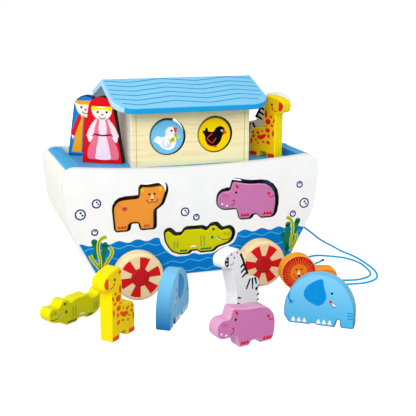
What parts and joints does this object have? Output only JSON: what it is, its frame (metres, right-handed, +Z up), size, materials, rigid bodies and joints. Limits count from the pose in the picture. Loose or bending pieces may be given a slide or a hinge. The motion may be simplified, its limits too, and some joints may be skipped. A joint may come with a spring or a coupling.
{
  "type": "wooden pull-along toy ark",
  "caption": "Wooden pull-along ark on wheels with animal-shaped holes in its sides, a lift-off gable roof, a pull cord and flat printed animals and people.",
  "frame": {"origin": "middle of the whole set's footprint on the floor, leaving out the pull cord", "axes": "+X towards the bow, where the cord comes out, +Y away from the side with the filled holes, +Z up"},
  "size_m": [0.4197, 0.3492, 0.2339],
  "materials": {
    "hull_white": "smooth white paint with a printed blue sea band",
    "trim_blue": "smooth light-blue paint",
    "bare_wood": "sanded bare wood",
    "deck_blue": "satin lilac-blue paint",
    "cabin_wood": "clear-lacquered pale wood",
    "roof_blue": "satin light-blue paint with wavy lines",
    "wheel_wood": "clear-lacquered wood with red spokes",
    "hub_red": "satin red paint",
    "cord_blue": "braided cord",
    "dove_blue": "satin paint, printed face",
    "raven_yellow": "satin paint, printed face",
    "lioness_orange": "satin paint, printed face",
    "hippo_mauve": "satin paint, printed face",
    "croc_green": "satin paint, printed face",
    "patriarch_blue": "satin paint, printed face",
    "wife_red": "satin paint, printed face",
    "giraffe_yellow": "satin paint, printed face",
    "zebra_white": "satin paint, printed face",
    "elephant_blue": "satin paint, printed face",
    "lion_orange": "satin paint, printed face"
  },
  "bodies": {
    "hull": {"side_panel_front": "hull_white", "side_panel_rear": "hull_white", "stern_board": "hull_white", "bow_board": "hull_white", "stern_plug": "trim_blue", "bow_plug": "trim_blue", "floor_board": "bare_wood", "deck_board": "deck_blue", "deck_cleat_stern": "bare_wood", "deck_cleat_bow": "bare_wood", "cabin_wall_front": "cabin_wood", "cabin_wall_rear": "cabin_wood", "cabin_wall_stern": "cabin_wood", "cabin_wall_bow": "cabin_wood", "pull_cord": "cord_blue", "cord_knot": "cord_blue"},
    "roof": {"roof_panel_front": "roof_blue", "roof_panel_rear": "roof_blue", "gable_stern": "roof_blue", "gable_bow": "roof_blue", "ridge_batten": "bare_wood"},
    "wheelset_stern": {"axle_stern": "bare_wood", "wheel_stern_front": "wheel_wood", "wheel_stern_rear": "wheel_wood", "hub_stern_front": "hub_red", "hub_stern_rear": "hub_red"},
    "wheelset_bow": {"axle_bow": "bare_wood", "wheel_bow_front": "wheel_wood", "wheel_bow_rear": "wheel_wood", "hub_bow_front": "hub_red", "hub_bow_rear": "hub_red"},
    "dove_disc": {"dove_disc": "dove_blue"},
    "raven_disc": {"raven_disc": "raven_yellow"},
    "lioness": {"lioness": "lioness_orange"},
    "hippo_a": {"hippo_a": "hippo_mauve"},
    "croc_a": {"croc_a": "croc_green"},
    "patriarch": {"patriarch": "patriarch_blue"},
    "wife": {"wife": "wife_red"},
    "giraffe_a": {"giraffe_a": "giraffe_yellow"},
    "zebra_a": {"zebra_a": "zebra_white"},
    "giraffe_b": {"giraffe_b": "giraffe_yellow"},
    "zebra_b": {"zebra_b": "zebra_white"},
    "elephant_a": {"elephant_a": "elephant_blue"},
    "elephant_b": {"elephant_b": "elephant_blue"},
    "lion": {"lion": "lion_orange"},
    "hippo_b": {"hippo_b": "hippo_mauve"},
    "croc_b": {"croc_b": "croc_green"}
  },
  "joints": [
    {"name": "stern_axle_spin", "type": "hinge", "parent": "hull", "child": "wheelset_stern", "pos_m": [-0.05315, 0.07701, 0.0275], "axis": [0, 1, 0], "continuous": true},
    {"name": "bow_axle_spin", "type": "hinge", "parent": "hull", "child": "wheelset_bow", "pos_m": [0.09285, 0.07701, 0.0275], "axis": [0, 1, 0], "continuous": true},
    {"name": "roof_lift", "type": "slide", "parent": "hull", "child": "roof", "axis": [0, 0, 1], "range_m": [0, 0.08]},
    {"name": "lioness_push", "type": "slide", "parent": "hull", "child": "lioness", "axis": [0, 1, 0], "range_m": [-0.03, 0.02]},
    {"name": "hippo_a_push", "type": "slide", "parent": "hull", "child": "hippo_a", "axis": [0, 1, 0], "range_m": [-0.03, 0.02]},
    {"name": "croc_a_push", "type": "slide", "parent": "hull", "child": "croc_a", "axis": [0, 1, 0], "range_m": [-0.03, 0.02]},
    {"name": "dove_disc_push", "type": "slide", "parent": "hull", "child": "dove_disc", "axis": [0, 1, 0], "range_m": [-0.02, 0.02]},
    {"name": "raven_disc_push", "type": "slide", "parent": "hull", "child": "raven_disc", "axis": [0, 1, 0], "range_m": [-0.02, 0.02]},
    {"name": "wife_shove", "type": "slide", "parent": "hull", "child": "wife", "axis": [0, 1, 0], "range_m": [-0.012, 0]},
    {"name": "patriarch_shove", "type": "slide", "parent": "hull", "child": "patriarch", "axis": [0, 1, 0], "range_m": [-0.02, 0]},
    {"name": "giraffe_a_lift", "type": "slide", "parent": "hull", "child": "giraffe_a", "axis": [0, 0, 1], "range_m": [0, 0.025]},
    {"name": "zebra_a_lift", "type": "slide", "parent": "hull", "child": "zebra_a", "axis": [0, 0, 1], "range_m": [0, 0.025]},
    {"name": "giraffe_b_lift", "type": "slide", "parent": "hull", "child": "giraffe_b", "axis": [0, 0, 1], "range_m": [0, 0.05]},
    {"name": "zebra_b_lift", "type": "slide", "parent": "hull", "child": "zebra_b", "axis": [0, 0, 1], "range_m": [0, 0.05]},
    {"name": "elephant_a_lift", "type": "slide", "parent": "hull", "child": "elephant_a", "axis": [0, 0, 1], "range_m": [0, 0.05]},
    {"name": "elephant_b_lift", "type": "slide", "parent": "hull", "child": "elephant_b", "axis": [0, 0, 1], "range_m": [0, 0.05]},
    {"name": "lion_lift", "type": "slide", "parent": "hull", "child": "lion", "axis": [0, 0, 1], "range_m": [0, 0.05]},
    {"name": "hippo_b_lift", "type": "slide", "parent": "hull", "child": "hippo_b", "axis": [0, 0, 1], "range_m": [0, 0.05]},
    {"name": "croc_b_lift", "type": "slide", "parent": "hull", "child": "croc_b", "axis": [0, 0, 1], "range_m": [0, 0.05]}
  ]
}
